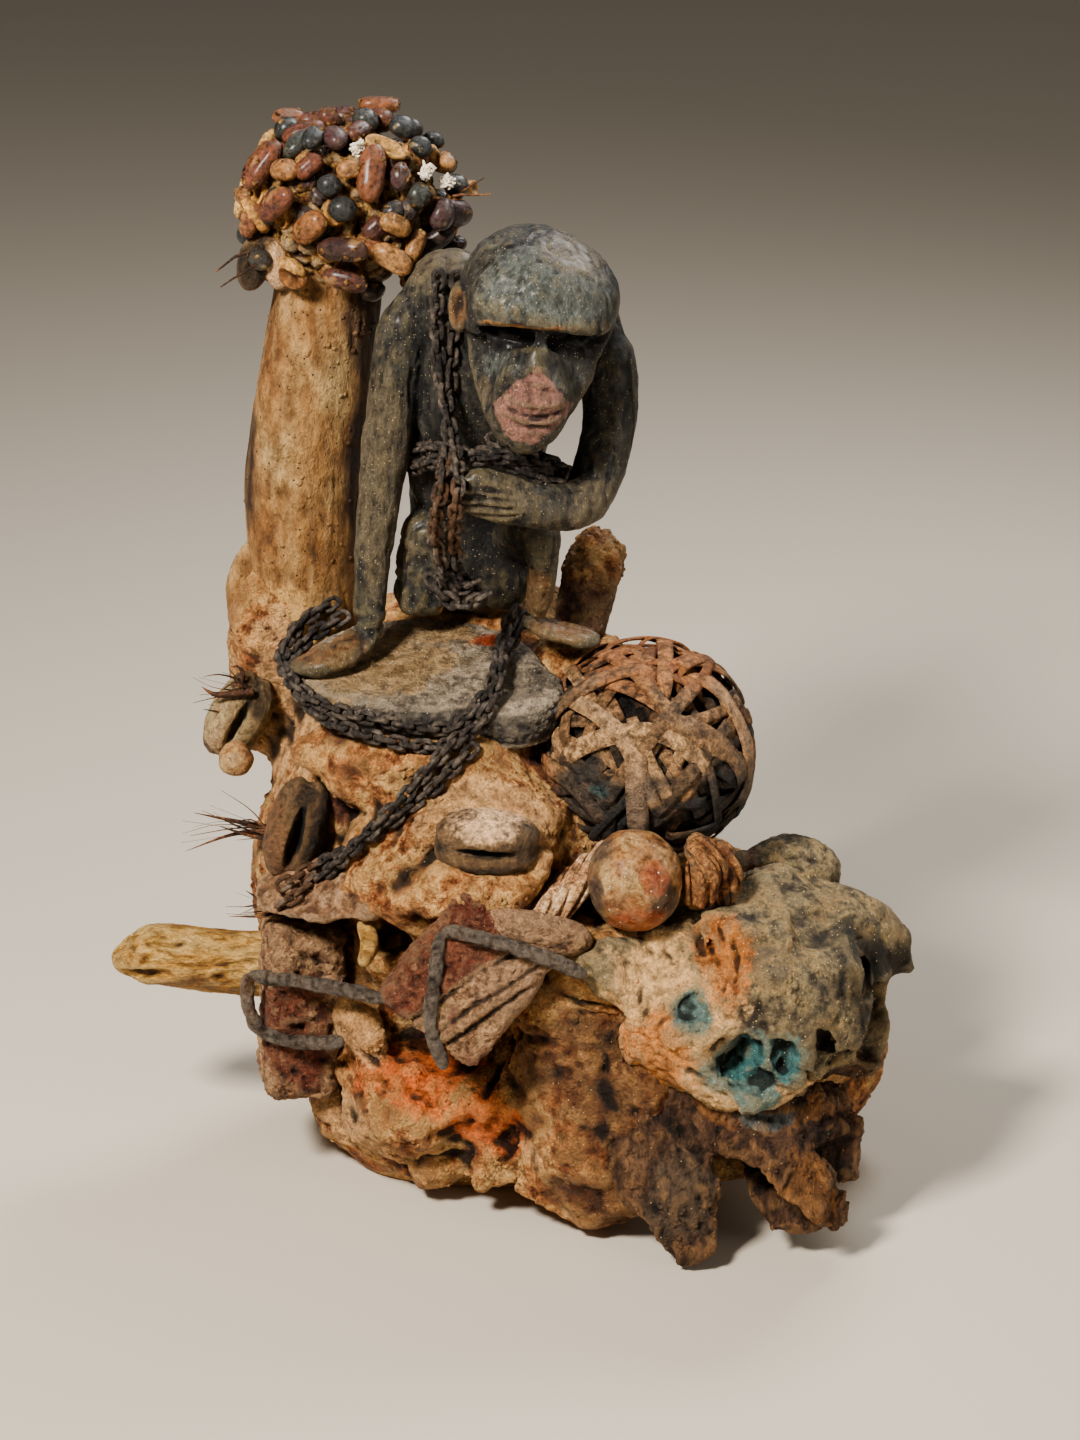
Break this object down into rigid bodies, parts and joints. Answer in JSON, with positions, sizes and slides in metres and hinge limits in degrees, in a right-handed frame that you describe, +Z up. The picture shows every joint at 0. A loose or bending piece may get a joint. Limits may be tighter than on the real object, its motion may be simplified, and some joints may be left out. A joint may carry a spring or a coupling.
{
  "type": "power figure",
  "caption": "Carved seated monkey chained to a crusted mound of bound offerings, with a post topped by seeds, a plaited ball and a pronged skull.",
  "frame": {"origin": "on the flat underside of the mound, at the middle of its footprint", "axes": "+Z up, the figure faces -Y, +X to the viewer's right"},
  "size_m": [0.4917, 0.3184, 0.6453],
  "materials": {
    "crust": "rough ochre and orange crust of earth and resin",
    "post_wood": "worn golden wood with dark specks",
    "slab_crust": "grey-olive granular crust",
    "carved_wood": "dark carved wood with a blue-grey waxy patina",
    "seeds": "glossy brown and dark seeds in ochre resin",
    "skull_crust": "grey-brown sparkling crust with pale and teal patches",
    "plaiting": "dry plaited strips",
    "gourd": "ochre and rust rind, satin",
    "fibre": "dry twisted fibre",
    "pod": "dry seed pod, satin",
    "bone": "golden worn stub",
    "packet": "dark red resinous bundle",
    "hide": "dry hide",
    "iron": "dark iron with rust",
    "feather": "dark quills"
  },
  "bodies": {
    "root": {"mound": "crust", "post": "post_wood", "post_bark": "post_wood", "slab": "slab_crust", "stump": "crust", "figure": "carved_wood", "seed_cluster": "seeds", "hanging_pod": "seeds", "skull": "skull_crust", "jaw": "crust", "plaited_ball": "plaiting", "gourd_ball": "gourd", "fibre_knot": "fibre", "back_lump": "skull_crust", "split_pod_front": "pod", "split_pod_side": "pod", "shell_nut": "pod", "small_ball": "gourd", "bone_stub": "bone", "packet_front": "packet", "packet_side": "packet", "packet_bar": "packet", "hide_flap": "hide", "bone_peg": "bone", "fibre_strands": "fibre", "binding_front": "iron", "binding_side": "iron", "feather_tuft_high": "feather", "feather_tuft_middle": "feather", "feather_tuft_low": "feather", "chain_neck": "iron", "chain_chest": "iron", "chain_slab": "iron", "chain_slope": "iron"}
  },
  "joints": []
}
